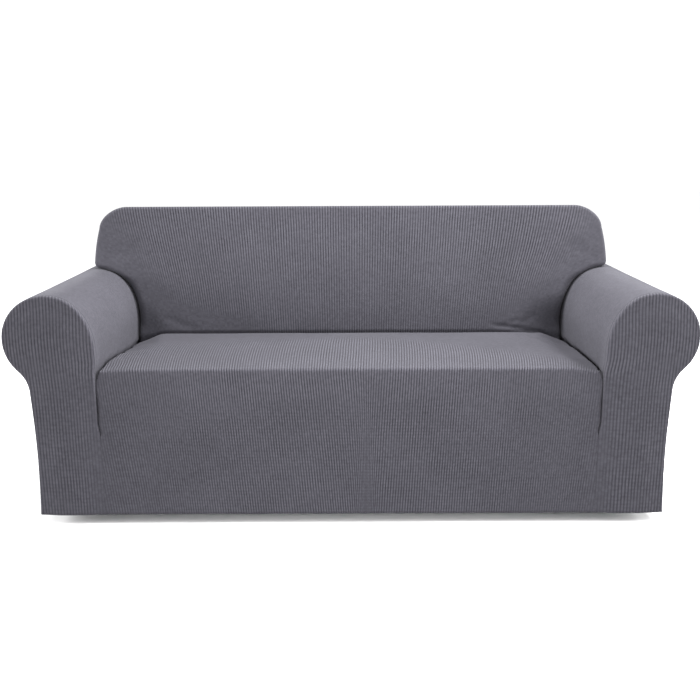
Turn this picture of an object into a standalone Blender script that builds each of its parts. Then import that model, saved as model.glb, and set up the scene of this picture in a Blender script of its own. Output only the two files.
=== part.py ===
"""A fitted stretch slipcover for a three-seat sofa with rolled arms.

Metres, +Z up, the front facing -Y. The origin is on the plane of the hem, at the middle of the cover's
width and depth. The cover is hollow: each object is one cut panel of cloth, in the shape that the sofa
under it gives it. The panels meet edge to edge along their seams and run side by side down the tucks,
where the real cover is sewn together and pushed in between the arms, the seat and the back.
"""

import math

import bmesh
import bpy

# Overall sizes
COVER_DEPTH = 0.860
FRONT = -COVER_DEPTH / 2
REAR = COVER_DEPTH / 2
TOP_HEIGHT = 0.871

# Cloth, seams and tucks
CLOTH = 0.002
SEAM_GAP = 0.0003
TUCK_GAP = 0.0005
WELD = 0.00002
SAME_PLACE = 0.004

# The arm, as a section across it
ARM_INNER_X = 0.739
CROWN_X = 0.877
ROLL_RADIUS = 0.128
ROLL_CENTRE_Z = 0.533
CROWN_Z = ROLL_CENTRE_Z + ROLL_RADIUS
ROLL_LEAVES_DEG = -47.0
NECK_RADIUS = 0.090
ARM_HEM_X = 0.931
SIDE_BOW = 0.006
INNER_WALL_TOP = 0.485
INNER_FULLNESS = 2.15

# The rolled edge and short lip of an end panel, where its seam runs round the arm or the back
END_ROLL = 0.012
END_LIP = 0.006
ARM_FRONT_CROWN = 0.006
CROWN_REACH = 0.070
FRONT_SEAM_Y = FRONT + ARM_FRONT_CROWN + END_ROLL + END_LIP
REAR_SEAM_Y = REAR - END_ROLL - END_LIP

# Below the tuck, the seam between the arm's front and the skirt stands in a little
SEAM_IN = 0.007
SEAM_IN_Z = 0.250
SEAM_STRAIGHT_Z = 0.330

# The seat and the skirt below it
SEAT_SIDE_X = ARM_INNER_X - TUCK_GAP
SEAT_FRONT_Z = 0.447
SEAT_REAR_Z = 0.445
SEAT_CROWN = 0.004
SEAT_EDGE_RADIUS = 0.014
SEAT_REAR_Y = FRONT + 0.545
SEAT_CORNER = 0.040
CORNER_DROP = 0.026
CORNER_REACH = 0.220
SKIRT_HEIGHT = SEAT_FRONT_Z - SEAT_EDGE_RADIUS
SEAT_STARTS = SKIRT_HEIGHT + SEAT_EDGE_RADIUS * math.pi / 2
TUCK_DEPTH = 0.058
TUCK_BOTTOM = SEAT_FRONT_Z - TUCK_DEPTH
TUCK_HOLLOW = 0.008
HOLLOW_STARTS = 0.005
HOLLOW_REACH = 0.014
HOLLOW_FADE = 0.060
TIGHTEST_TURN = 0.001
SHORTEST_RUN = 0.010

# Up the side of the skirt and back along the seat: how far the face stands behind the arm's front,
# the roll of its side edge, and how deep that edge is tucked in beside the arm
SKIRT_SIDE = (
    {"along": 0.000, "set_back": 0.008, "roll": 0.006, "tuck": 0.014},
    {"along": 0.200, "set_back": 0.009, "roll": 0.007, "tuck": 0.018},
    {"along": 0.290, "set_back": 0.010, "roll": 0.012, "tuck": 0.040},
    {"along": 0.360, "set_back": 0.011, "roll": 0.020, "tuck": 0.058},
    {"along": 0.415, "set_back": 0.014, "roll": 0.028, "tuck": 0.058},
    {"along": 2.000, "set_back": 0.014, "roll": 0.028, "tuck": 0.058},
)

# The back
BACK_FOOT_Y = SEAT_REAR_Y + TUCK_GAP
BACK_FOOT_Z = 0.440
BACK_LEAN = 0.205
BACK_BELLY = 0.010
BACK_SIDE_X = 0.886
BACK_TUCK_Y = FRONT + 0.655
SHOULDER_X = 0.869
SHOULDER_Z = 0.798
TOP_CORNER_X = 0.775
SHOULDER_FULLNESS = 1.8
CROWN_TURN = 0.020
TOP_FALL = 0.018

# Up the edge of the inside back: how round it is where the face turns to meet the arm or the top
BACK_EDGE = (
    {"height": 0.390, "roll": 0.010},
    {"height": 0.425, "roll": 0.012},
    {"height": 0.480, "roll": 0.034},
    {"height": 0.600, "roll": 0.034},
    {"height": 0.645, "roll": 0.018},
    {"height": 0.690, "roll": 0.012},
    {"height": 0.780, "roll": 0.010},
    {"height": 0.900, "roll": 0.008},
)

PANELS_COLLECTION = "sofa_slipcover"
CLOTH_COLOUR = (0.128, 0.125, 0.150, 1.0)
CLOTH_ROUGHNESS = 0.92


# ---------------------------------------------------------------- numbers and runs of points


def clamped(value, low=0.0, high=1.0):
    return max(low, min(high, value))


def eased(value):
    """0 to 1 with a soft start and a soft end."""
    share = clamped(value)
    return share * share * (3 - 2 * share)


def mixed(start, end, share):
    return start + (end - start) * share


def steps(start, end, count):
    """count + 1 even values from start to end."""
    return [mixed(start, end, i / count) for i in range(count + 1)]


def read(table, key, place, column):
    """A table's column at a place along its key, eased between its rows."""
    for low, high in zip(table, table[1:]):
        if place <= high[key]:
            share = (place - low[key]) / (high[key] - low[key])
            return mixed(low[column], high[column], eased(share))
    return table[-1][column]


def arc(centre, radius, start_deg, end_deg, count):
    """Points round an arc, with both of its ends."""
    turns = [math.radians(a) for a in steps(start_deg, end_deg, count)]
    return [(centre[0] + radius * math.cos(a), centre[1] + radius * math.sin(a)) for a in turns]


def joined(*runs):
    """One run of points out of several that each start where the last one ended."""
    points = list(runs[0])
    for run in runs[1:]:
        points += run[1:]
    return points


# ---------------------------------------------------------------- outlines, for the side at +X


def neck_centre():
    """Centre of the hollow curve between the roll and the arm's outer side."""
    leaves = math.radians(ROLL_LEAVES_DEG)
    reach = ROLL_RADIUS + NECK_RADIUS
    return CROWN_X + reach * math.cos(leaves), ROLL_CENTRE_Z + reach * math.sin(leaves)


def outer_side(count):
    """From the hem up the outside of the arm, slightly waisted, to where the neck starts."""
    neck_x, neck_z = neck_centre()
    run = []
    for z in steps(0.0, neck_z, count):
        share = z / neck_z
        waist = SIDE_BOW * math.sin(math.pi * share)
        run.append((mixed(ARM_HEM_X, neck_x - NECK_RADIUS, share) - waist, z))
    return run


def roll(end_x=CROWN_X):
    """Out round the neck, then round the roll and over it to end_x, which is the crown or beside it."""
    neck = arc(neck_centre(), NECK_RADIUS, 180, 180 + ROLL_LEAVES_DEG, 4)
    end_deg = math.degrees(math.acos((end_x - CROWN_X) / ROLL_RADIUS))
    return joined(neck, arc((CROWN_X, ROLL_CENTRE_Z), ROLL_RADIUS, ROLL_LEAVES_DEG, end_deg, 11))


def inner_curve(clear=0.0):
    """From the crown of the arm to the top of its straight inner wall, moved off the arm by clear."""
    across = CROWN_X - ARM_INNER_X + clear
    up = CROWN_Z - INNER_WALL_TOP + clear
    power = 2 / INNER_FULLNESS
    turns = steps(math.pi / 2, 0, 10)
    corner = [(max(math.cos(a), 0.0) ** power, math.sin(a) ** power) for a in turns]
    return [(CROWN_X - across * x, INNER_WALL_TOP + up * z) for x, z in corner]


def inner_side_x(z):
    """The arm's inner side, and below the tuck its seam with the skirt."""
    share = (z - SEAM_IN_Z) / (SEAM_STRAIGHT_Z - SEAM_IN_Z)
    return ARM_INNER_X - SEAM_IN * (1 - eased(share))


def side_heights():
    """Heights up the seam between the arm's front and the skirt, closest where it bends."""
    bend = steps(SEAM_IN_Z, SEAM_STRAIGHT_Z, 4)
    return joined(steps(0.0, SEAM_IN_Z, 2), bend, steps(SEAM_STRAIGHT_Z, SKIRT_HEIGHT, 3))


def arm_outline(wall_heights):
    """The arm's section: up its outside, over the roll and the crown, and down its inner wall."""
    wall = [(inner_side_x(z), z) for z in wall_heights]
    return joined(outer_side(5), roll(), inner_curve() + wall)


def back_side():
    """Up the side of the back from the arm's crown to the shoulder, leaning in a little."""
    heights = steps(CROWN_Z + CROWN_TURN, SHOULDER_Z, 3)
    shares = [(z - CROWN_Z) / (SHOULDER_Z - CROWN_Z) for z in heights]
    return [(mixed(BACK_SIDE_X, SHOULDER_X, s * s), z) for s, z in zip(shares, heights)]


def shoulder_and_top():
    """Round the shoulder and along the top to the middle of the back."""
    across, up = SHOULDER_X - TOP_CORNER_X, TOP_HEIGHT - SHOULDER_Z
    power = 2 / SHOULDER_FULLNESS
    turns = steps(0, math.pi / 2, 7)
    corner = [(max(math.cos(a), 0.0) ** power, math.sin(a) ** power) for a in turns]
    shoulder = [(TOP_CORNER_X + across * x, SHOULDER_Z + up * z) for x, z in corner]
    return joined(shoulder, [(x, TOP_HEIGHT) for x in steps(TOP_CORNER_X, 0, 6)])


def rear_height(z):
    """Where a height of the back's front comes to at its rear: the top falls away behind."""
    return z - TOP_FALL * eased((z - CROWN_Z) / (TOP_HEIGHT - CROWN_Z))


def inside_back_outline():
    """Up the arm's inner wall, over the arm to its crown, and up the side of the back to the middle."""
    wall = [(SEAT_SIDE_X, z) for z in steps(TUCK_BOTTOM, INNER_WALL_TOP, 4)]
    turn_x, turn_z = BACK_SIDE_X - CROWN_TURN, CROWN_Z + TUCK_GAP + CROWN_TURN
    over_arm = [p for p in reversed(inner_curve(TUCK_GAP)) if p[0] < turn_x - SAME_PLACE]
    turn = arc((turn_x, turn_z), CROWN_TURN, 270, 360, 4)
    return joined(wall, over_arm) + joined(turn, back_side(), shoulder_and_top())


def outside_back_outline():
    """Up the outside of the arm, round its roll to the crown, and up the side of the back to the middle."""
    back = [(x, rear_height(z)) for x, z in joined(back_side(), shoulder_and_top())]
    return joined(outer_side(5), roll(BACK_SIDE_X)) + back


def seat_stations():
    """Places up the skirt, round the seat's front edge and back along the seat."""
    edge = steps(SKIRT_HEIGHT, SEAT_STARTS, 3)
    return joined(side_heights(), edge, steps(SEAT_STARTS, seat_length() - SEAT_CORNER, 6))


def seat_length():
    """From the hem up the skirt and back along the seat to its rear crease."""
    return SEAT_STARTS + SEAT_REAR_Y - skirt_y(SKIRT_HEIGHT) - SEAT_EDGE_RADIUS


def seat_outline():
    """The seat and skirt laid flat: up its side from the hem, round the rear corner, in to the middle."""
    length = seat_length()
    side = [(SEAT_SIDE_X, along) for along in seat_stations()]
    turn_x = SEAT_SIDE_X - SEAT_CORNER
    corner = arc((turn_x, length - SEAT_CORNER), SEAT_CORNER, 0, 90, 4)
    return joined(side, corner, [(x, length) for x in steps(turn_x, 0, 5)])


# ---------------------------------------------------------------- flat panels


def outward_directions(outline):
    """Unit directions at right angles to an outline that has the panel on its left. Its ends are square."""
    found = []
    for i in range(len(outline)):
        before, after = outline[max(i - 1, 0)], outline[min(i + 1, len(outline) - 1)]
        across, up = after[0] - before[0], after[1] - before[1]
        size = math.hypot(across, up)
        found.append((up / size, -across / size))
    found[0] = (1.0, 0.0)
    found[-1] = (0.0, 1.0) if outline[-1][0] == 0 else (-1.0, 0.0)
    return found


def rolled_edge(radius, count=3):
    """Steps round a rolled edge: how far in from the outline and how far behind the face each one is."""
    turns = steps(math.pi / 2, 0, count)
    return [(radius * (1 - math.cos(a)), radius * (1 - math.sin(a))) for a in turns]


def flat_panel(outline, edge_of, cuts):
    """Half a panel laid flat in X and Y, with the depth behind its face in Z.

    edge_of gives the steps of the edge at a point of the outline, and cuts the grid drawn on the face.
    """
    outward = outward_directions(outline)
    edges = [edge_of(*point) for point in outline]

    def place(column, row):
        inset, depth = edges[column][row]
        (x, y), (out_x, out_y) = outline[column], outward[column]
        return x - out_x * inset, y - out_y * inset, depth

    columns, rows = len(outline) - 1, len(edges[0]) - 1
    bm = sheet(columns, rows, place)
    ring = [place(column, 0) for column in range(columns + 1)]
    middle = [(0.0, ring[0][1], 0.0)] if ring[-1][0] == 0 else []
    bm.faces.new([bm.verts.new(point) for point in ring + middle])
    bmesh.ops.remove_doubles(bm, verts=bm.verts, dist=WELD)
    for axis, places in enumerate(cuts):
        for place_on_axis in places:
            cut_face(bm, axis, place_on_axis)
    return bm


def sheet(columns, rows, place):
    """An open grid of columns by rows, each corner put where place says."""
    bm = bmesh.new()
    bmesh.ops.create_grid(bm, x_segments=columns, y_segments=rows, size=0.5)
    for vert in bm.verts:
        vert.co = place(round((vert.co.x + 0.5) * columns), round((vert.co.y + 0.5) * rows))
    return bm


def cut_face(bm, axis, where):
    """Draws one line of the grid across the flat face."""
    flat = [f for f in bm.faces if all(abs(v.co.z) < WELD for v in f.verts)]
    around = {e for f in flat for e in f.edges} | {v for f in flat for v in f.verts}
    point, normal = [0.0] * 3, [0.0] * 3
    point[axis], normal[axis] = where, 1.0
    geometry = flat + list(around)
    bmesh.ops.bisect_plane(bm, geom=geometry, dist=SAME_PLACE, plane_co=point, plane_no=normal)


def put_in_place(bm, shape):
    """Takes a flat panel to its place on the sofa. shape gives the point for an x, y and depth."""
    bmesh.ops.triangulate(bm, faces=[f for f in bm.faces if len(f.verts) > 4])
    for vert in bm.verts:
        vert.co = shape(*vert.co)


def turn_faces(bm, direction):
    """Turns the faces so that the cloth's right side, as a whole, looks along direction."""
    bmesh.ops.recalc_face_normals(bm, faces=bm.faces)
    axis = {"front": (0, -1, 0), "rear": (0, 1, 0), "side": (1, 0, 0), "up": (0, 0, 1)}[direction]
    if sum(f.calc_area() * sum(n * a for n, a in zip(f.normal, axis)) for f in bm.faces) < 0:
        bmesh.ops.reverse_faces(bm, faces=bm.faces)


def drawn_out(bm, rim, end_y):
    """Carries the edges of a rim straight on, as far as end_y and at least a short way, to a new rim."""
    grown = bmesh.ops.extrude_edge_only(bm, edges=rim)["geom"]
    for item in grown:
        if isinstance(item, bmesh.types.BMVert):
            item.co.y = max(end_y, item.co.y + SHORTEST_RUN)
    return [item for item in grown if isinstance(item, bmesh.types.BMEdge)]


# ---------------------------------------------------------------- the cut panels


def skirt_y(height):
    return FRONT + read(SKIRT_SIDE, "along", height, "set_back")


def seat_height(x, y):
    """The seat falls a little to the rear, and more in the two corners where it is drawn down."""
    share = clamped((y - FRONT) / (SEAT_REAR_Y - FRONT))
    crown = SEAT_CROWN * math.sin(math.pi * share) * (1 - (x / SEAT_SIDE_X) ** 4)
    reach = math.hypot(SEAT_SIDE_X - abs(x), SEAT_REAR_Y - y)
    return mixed(SEAT_FRONT_Z, SEAT_REAR_Z, share) + crown - CORNER_DROP * eased(1 - reach / CORNER_REACH)


def tuck_hollow(y, z):
    """How far the arm's inner wall is drawn in, where it goes down beside the seat."""
    share = (seat_height(SEAT_SIDE_X, y) + HOLLOW_STARTS - z) / HOLLOW_REACH
    return TUCK_HOLLOW * eased(share) * eased((y - FRONT_SEAM_Y) / HOLLOW_FADE)


def seat_shape(x, along, depth):
    """Folds the flat panel over the seat's front edge, and its side and rear edges into the tucks."""
    radius = max(SEAT_EDGE_RADIUS - depth, TIGHTEST_TURN)
    centre_y = skirt_y(SKIRT_HEIGHT) + depth + radius
    centre_z = SEAT_FRONT_Z - depth - radius
    if along <= SKIRT_HEIGHT:
        z = along * centre_z / SKIRT_HEIGHT
        return x * inner_side_x(z) / ARM_INNER_X, skirt_y(along) + depth, z
    if along < SEAT_STARTS:
        turn = math.pi - (along - SKIRT_HEIGHT) / SEAT_EDGE_RADIUS
        return x, centre_y + radius * math.cos(turn), centre_z + radius * math.sin(turn)
    y = mixed(centre_y, SEAT_REAR_Y, (along - SEAT_STARTS) / (seat_length() - SEAT_STARTS))
    return x, y, max(seat_height(x, y) - depth, TUCK_BOTTOM)


def seat_and_skirt():
    """Half of the one panel that covers the seat, hangs down in front and is tucked in on three sides."""

    def edge_of(_, along):
        radius = read(SKIRT_SIDE, "along", along, "roll")
        return rolled_edge(radius) + [(0.0, read(SKIRT_SIDE, "along", along, "tuck"))]

    across = (0.22, 0.44, 0.60, 0.69)
    bm = flat_panel(seat_outline(), edge_of, (across, seat_stations()[1:]))
    put_in_place(bm, seat_shape)
    turn_faces(bm, "front")
    return bm


def inside_back():
    """Half of the inside back, which is tucked in behind the arm and wraps over the top to the rear seam."""

    def edge_of(_, height):
        return rolled_edge(read(BACK_EDGE, "height", height, "roll"), 4)

    def shape(x, height, depth):
        lean = BACK_LEAN * max(height - BACK_FOOT_Z, 0.0)
        rise = clamped((height - BACK_FOOT_Z) / (TOP_HEIGHT - BACK_FOOT_Z))
        belly = BACK_BELLY * math.sin(math.pi * rise) * clamped(1 - (x / SEAT_SIDE_X) ** 2)
        return x, BACK_FOOT_Y + lean - belly + depth, height

    cuts = ((0.2, 0.4, 0.55, 0.66, 0.75, 0.82), (0.43, 0.47, 0.52, 0.57, 0.62, 0.67, 0.73, 0.79))
    bm = flat_panel(inside_back_outline(), edge_of, cuts)
    rim_verts = {v for v in bm.verts if v.co.z > edge_of(0, v.co.y)[-1][1] - WELD}
    rim = [e for e in bm.edges if rim_verts.issuperset(e.verts)]
    put_in_place(bm, shape)
    tucked = drawn_out(bm, rim, BACK_TUCK_Y)
    wrap_starts = CROWN_Z + TUCK_GAP - WELD
    over = [e for e in tucked if min(v.co.z for v in e.verts) > wrap_starts]
    for vert in {v for e in drawn_out(bm, over, REAR_SEAM_Y - SEAM_GAP) for v in e.verts}:
        vert.co.z = rear_height(vert.co.z)
    turn_faces(bm, "front")
    return bm


def outside_back():
    """Half of the outside back, across the whole rear of the sofa with the ends of the arms."""
    cuts = ((0.30, 0.60, 0.80), (0.15, 0.30, 0.45, 0.60, 0.74))
    edge = rolled_edge(END_ROLL) + [(0.0, END_ROLL + END_LIP)]
    bm = flat_panel(outside_back_outline(), lambda *_: edge, cuts)
    put_in_place(bm, lambda x, height, depth: (x, REAR - depth, height))
    turn_faces(bm, "rear")
    return bm


def arm_front():
    """The front of the arm at +X, crowned a little, its edge rolled back to the seam all round."""
    outline = arm_outline(side_heights()[::-1])
    edge = rolled_edge(END_ROLL) + [(0.0, END_ROLL + END_LIP)]

    def shape(x, height, depth):
        reach = min(math.hypot(x - px, height - pz) for px, pz in outline)
        crown = ARM_FRONT_CROWN * eased((reach - END_ROLL) / CROWN_REACH)
        return x, FRONT + ARM_FRONT_CROWN - crown + depth, height

    cuts = ((0.786, 0.836, 0.889, 0.945), (0.07, 0.143, 0.215, 0.286, 0.358, 0.42, 0.47, 0.53, 0.59))
    bm = flat_panel(outline, lambda *_: edge, cuts)
    put_in_place(bm, shape)
    turn_faces(bm, "front")
    return bm


def arm():
    """The cloth over the arm at +X, from its outer hem over the roll and down into the tuck by the seat.

    Behind the inside back only its outer part goes on, to the rear seam.
    """
    section = arm_outline(steps(INNER_WALL_TOP, TUCK_BOTTOM, 7)[1:])
    front, rear = FRONT_SEAM_Y + SEAM_GAP, REAR_SEAM_Y - SEAM_GAP
    stations = joined(steps(front, BACK_TUCK_Y, 6), steps(BACK_TUCK_Y, rear, 2))

    def place(column, row):
        (x, z), y = section[column], stations[row]
        return (x + tuck_hollow(y, z) if x < CROWN_X else x), y, z

    bm = sheet(len(section) - 1, len(stations) - 1, place)
    middles = {f: f.calc_center_median() for f in bm.faces}
    crown_edge = BACK_SIDE_X - CROWN_TURN
    behind = [f for f, m in middles.items() if m.y > BACK_TUCK_Y and m.x < crown_edge]
    bmesh.ops.delete(bm, geom=behind, context="FACES")
    turn_faces(bm, "side")
    return bm


# ---------------------------------------------------------------- objects


def cloth_material(name):
    material = bpy.data.materials.new(name + "_cloth")
    material.use_nodes = True
    shader = material.node_tree.nodes["Principled BSDF"]
    shader.inputs["Base Color"].default_value = CLOTH_COLOUR
    shader.inputs["Roughness"].default_value = CLOTH_ROUGHNESS
    shader.inputs["Metallic"].default_value = 0.0
    return material


def add_panel(collection, name, bm, half=False, flipped=False):
    """Makes an object of a panel's right side, and gives the cloth its thickness inwards."""
    if flipped:
        bmesh.ops.scale(bm, vec=(-1, 1, 1), verts=bm.verts)
        bmesh.ops.reverse_faces(bm, faces=bm.faces)
    mesh = bpy.data.meshes.new(name)
    bm.to_mesh(mesh)
    bm.free()
    mesh.materials.append(cloth_material(name))
    panel = bpy.data.objects.new(name, mesh)
    collection.objects.link(panel)
    if half:
        mirror = panel.modifiers.new("Other half", "MIRROR")
        mirror.merge_threshold = 0.0001
    thick = panel.modifiers.new("Cloth", "SOLIDIFY")
    thick.thickness = CLOTH
    thick.offset = -1
    thick.use_even_offset = True
    mesh.shade_smooth()


def main():
    for old in list(bpy.data.objects):
        bpy.data.objects.remove(old)
    collection = bpy.data.collections.new(PANELS_COLLECTION)
    bpy.context.scene.collection.children.link(collection)
    add_panel(collection, "seat_and_skirt", seat_and_skirt(), half=True)
    add_panel(collection, "inside_back", inside_back(), half=True)
    add_panel(collection, "outside_back", outside_back(), half=True)
    for side in ("left", "right"):
        add_panel(collection, "arm_" + side, arm(), flipped=side == "left")
        add_panel(collection, "arm_front_" + side, arm_front(), flipped=side == "left")


if __name__ == "__main__":
    main()
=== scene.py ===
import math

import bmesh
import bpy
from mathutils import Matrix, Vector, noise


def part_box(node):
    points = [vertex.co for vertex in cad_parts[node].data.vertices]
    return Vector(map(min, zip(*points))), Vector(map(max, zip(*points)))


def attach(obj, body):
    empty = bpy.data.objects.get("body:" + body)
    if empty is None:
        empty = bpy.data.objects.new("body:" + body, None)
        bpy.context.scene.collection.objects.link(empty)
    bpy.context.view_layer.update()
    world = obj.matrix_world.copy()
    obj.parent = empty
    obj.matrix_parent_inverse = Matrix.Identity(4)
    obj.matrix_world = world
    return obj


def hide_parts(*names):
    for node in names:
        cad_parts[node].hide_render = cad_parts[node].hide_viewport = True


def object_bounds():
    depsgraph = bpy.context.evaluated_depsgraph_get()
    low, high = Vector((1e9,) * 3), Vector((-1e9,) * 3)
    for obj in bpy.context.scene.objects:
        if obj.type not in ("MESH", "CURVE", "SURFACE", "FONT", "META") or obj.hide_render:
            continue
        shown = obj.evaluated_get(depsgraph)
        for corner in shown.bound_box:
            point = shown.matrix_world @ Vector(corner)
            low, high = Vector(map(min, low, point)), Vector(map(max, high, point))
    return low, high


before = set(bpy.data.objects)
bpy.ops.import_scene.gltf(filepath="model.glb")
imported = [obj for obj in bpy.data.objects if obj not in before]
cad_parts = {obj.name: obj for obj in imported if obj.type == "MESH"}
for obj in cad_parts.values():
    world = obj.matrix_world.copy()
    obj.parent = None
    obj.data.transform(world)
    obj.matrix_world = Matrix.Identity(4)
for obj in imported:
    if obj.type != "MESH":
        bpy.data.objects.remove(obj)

# The looks of a fitted stretch slipcover. Each cut panel is rebuilt as a fine sheet of knit on the shape of
# its solid, with the pulls and creases that the tucks leave in it, and the knit itself is in the material.
# Metres throughout: +Z is up, the front faces -Y, and Z is 0 on the plane of the hem.

CAD_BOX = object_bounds()
FRONT, REAR = CAD_BOX[0][1], CAD_BOX[1][1]
TOP_HEIGHT = CAD_BOX[1][2]

# Cloth, seams and tucks
CLOTH = 0.0018
SEAM_GAP = 0.0001
SEAM_DIP = 0.0005
SEAM_DIP_REACH = 0.005
TUCK_GAP = 0.0002
CELL = 0.010
WELD = 0.00002
SAME_PLACE = 0.0022

# How many rows of the mesh go round a rolled edge, down a tuck and over the top of the back
ROLL_ROWS = 6
BACK_ROLL_ROWS = 8
TUCK_ROWS = 5
BACK_TUCK_ROWS = 4
TOP_ROWS = 14

# The arm, as a section across it
ARM_INNER_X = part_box("arm_right")[0][0]
CROWN_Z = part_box("arm_right")[1][2]
CROWN_X = 0.877
ROLL_RADIUS = 0.128
ROLL_CENTRE_Z = CROWN_Z - ROLL_RADIUS
ROLL_LEAVES = math.radians(-47.0)
NECK_RADIUS = 0.090
ARM_HEM_X = 0.931
SIDE_BOW = 0.006
WIDEST_X = 1.0
INNER_WALL_TOP = 0.485
INNER_FULLNESS = 2.15

# The rolled edge and short lip of an end panel
END_ROLL = 0.006
END_LIP = 0.012
ARM_FRONT_CROWN = 0.006
CROWN_REACH = 0.070
FRONT_SEAM_Y = FRONT + ARM_FRONT_CROWN + END_ROLL + END_LIP
REAR_SEAM_Y = REAR - END_ROLL - END_LIP

# Below the tuck, the seam between the arm's front and the skirt stands in a little and is hardly rolled
SEAM_IN = 0.007
SEAM_IN_Z = 0.240
SEAM_STRAIGHT_Z = 0.288
FLAT_SEAM_ROLL = 0.0002
SEAM_ROLLS_Z = (0.236, 0.256)

# Both of the tucks beside the skirt hang a little to the left of where the arms would put them. The shift
# grows outwards over the skirt, and fades over the arm's front, above the seat's edge and towards the rear.
SEAM_SHIFT = 0.005
SHIFT_GROWS_X = (0.58, 0.71)
SHIFT_FADES_X = (0.75, 0.84)
SHIFT_FADES_Z = (0.425, 0.475)
SHIFT_FADES_Y = (FRONT + 0.03, FRONT + 0.10)

# The seat and the skirt below it
SEAT_SIDE_X = ARM_INNER_X - TUCK_GAP
SEAT_FRONT_Z = 0.442
SEAT_REAR_Z = 0.445
SEAT_RISE_SHARE = 1 / 3
SEAT_CROWN = 0.004
SEAT_EDGE_RADIUS = 0.008
SEAT_REAR_Y = FRONT + 0.545
SEAT_CORNER = 0.040
CORNER_IN = 0.010
CORNER_IN_Z = 0.400
CORNER_IN_REACH = 0.090
CORNER_SQUARE_DEPTHS = (0.008, 0.038)
SKIRT_HEIGHT = SEAT_FRONT_Z - SEAT_EDGE_RADIUS
SEAT_STARTS = SKIRT_HEIGHT + SEAT_EDGE_RADIUS * math.pi / 2
TUCK_DEPTH = 0.053
TUCK_BOTTOM = SEAT_FRONT_Z - TUCK_DEPTH
TUCK_HOLLOW = 0.010
HOLLOW_STARTS = 0.001
HOLLOW_REACH = 0.010
HOLLOW_FADE = 0.120
HOLLOW_CLOSES = 0.014
TIGHTEST_TURN = 0.001

# Up the side of the skirt and back along the seat: how far the face stands behind the arm's front,
# the roll of its side edge, and how deep that edge is tucked in beside the arm
SKIRT_SIDE = (
    {"along": 0.000, "set_back": 0.006, "roll": 0.0002, "tuck": 0.014},
    {"along": 0.236, "set_back": 0.006, "roll": 0.0002, "tuck": 0.018},
    {"along": 0.256, "set_back": 0.007, "roll": 0.012, "tuck": 0.035},
    {"along": 0.310, "set_back": 0.008, "roll": 0.015, "tuck": 0.053},
    {"along": 0.345, "set_back": 0.009, "roll": 0.014, "tuck": 0.053},
    {"along": 0.375, "set_back": 0.011, "roll": 0.007, "tuck": 0.053},
    {"along": 0.400, "set_back": 0.014, "roll": 0.004, "tuck": 0.053},
    {"along": 0.440, "set_back": 0.019, "roll": 0.004, "tuck": 0.053},
    {"along": 0.540, "set_back": 0.019, "roll": 0.012, "tuck": 0.053},
    {"along": 0.640, "set_back": 0.019, "roll": 0.015, "tuck": 0.053},
    {"along": 2.000, "set_back": 0.019, "roll": 0.015, "tuck": 0.053},
)

# Back along each side of the seat: how far it lies below the middle, where it is drawn down into the tuck
SEAT_SIDES = (
    {"back": 0.000, "left": 0.006, "right": 0.014, "left_reach": 0.10, "right_reach": 0.09},
    {"back": 0.140, "left": 0.003, "right": 0.017, "left_reach": 0.13, "right_reach": 0.10},
    {"back": 0.230, "left": 0.007, "right": 0.017, "left_reach": 0.13, "right_reach": 0.13},
    {"back": 0.340, "left": 0.018, "right": 0.019, "left_reach": 0.12, "right_reach": 0.13},
    {"back": 0.450, "left": 0.027, "right": 0.026, "left_reach": 0.11, "right_reach": 0.12},
    {"back": 0.520, "left": 0.029, "right": 0.028, "left_reach": 0.10, "right_reach": 0.10},
    {"back": 0.545, "left": 0.030, "right": 0.028, "left_reach": 0.10, "right_reach": 0.10},
)

# The back
BACK_FOOT_Y = SEAT_REAR_Y + TUCK_GAP
BACK_FOOT_Z = 0.440
BACK_LEAN = 0.205
BACK_BELLY = 0.010
BACK_SIDE_X = 0.886
BACK_TUCK_Y = FRONT + 0.655
FINE_TO_Z = 0.500
FINE_ROWS = 14
UNDERCUT = 0.005
UNDERCUT_RISE = 0.006

# Where the inside back goes down between the arms, its sides are a little clear of them
BACK_GAP = 0.004
BACK_GAP_FADES_Z = (CROWN_Z - 0.042, CROWN_Z - 0.002)
BACK_GAP_GROWS_X = (0.660, 0.690)
BACK_GAP_FADES_Y = (BACK_TUCK_Y - 0.030, BACK_TUCK_Y)

# Behind the seat's rear corners, its tuck is carried back to the foot of the back, and in under its sides
REAR_TUCK_REACH = 0.050
REAR_TUCK_DEPTHS = (0.004, 0.026)
REAR_CORNER_TUCK = 0.022
REAR_CORNER_DEPTHS = (0.016, 0.036)
REAR_CORNER_SIDES = (0.009, 0.039)

# How far the back's lower corners are drawn in, and how far that reaches
BACK_CORNERS = {
    "left": {"depth": 0.016, "across": 0.120, "up": 0.120},
    "right": {"depth": 0.042, "across": 0.200, "up": 0.140},
}

# The sides and the top of the back
SHOULDER_X = 0.869
SHOULDER_Z = 0.798
TOP_CORNER_X = 0.775
SHOULDER_FULLNESS = 1.8
CROWN_TURN = 0.020
TOP_FALL = 0.018
SHORTEST_RUN = 0.010

# Up the edge of the inside back: how round it is where the face turns to meet the arm or the top
BACK_EDGE = (
    {"height": 0.390, "roll": 0.010},
    {"height": 0.425, "roll": 0.012},
    {"height": 0.480, "roll": 0.030},
    {"height": 0.600, "roll": 0.030},
    {"height": 0.645, "roll": 0.019},
    {"height": 0.690, "roll": 0.012},
    {"height": 0.780, "roll": 0.010},
    {"height": 0.900, "roll": 0.008},
)

# The knit: how far apart its ribs and its cross lines are before the cloth is stretched
RIB = 0.0083
CROSS_LINE = 0.0096

# How deep its relief stands on each panel, as a share of the loose knit's, which also sets how strong the
# painted shade and light of its check are, and how wide the smoother strip beside a seam is
SEAT_RELIEF = 0.85
SKIRT_RELIEF = 0.72
BACK_RELIEF = 0.75
ARM_RELIEF = 0.52
SEAM_SMOOTH = 0.055

# The ribs across the seat and skirt, closer together than on loose cloth, and swaying a little
RIBS_ACROSS = 1.075
RIB_SWAY = 0.0043
RIB_SWAY_WIDTH = 0.9

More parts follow.
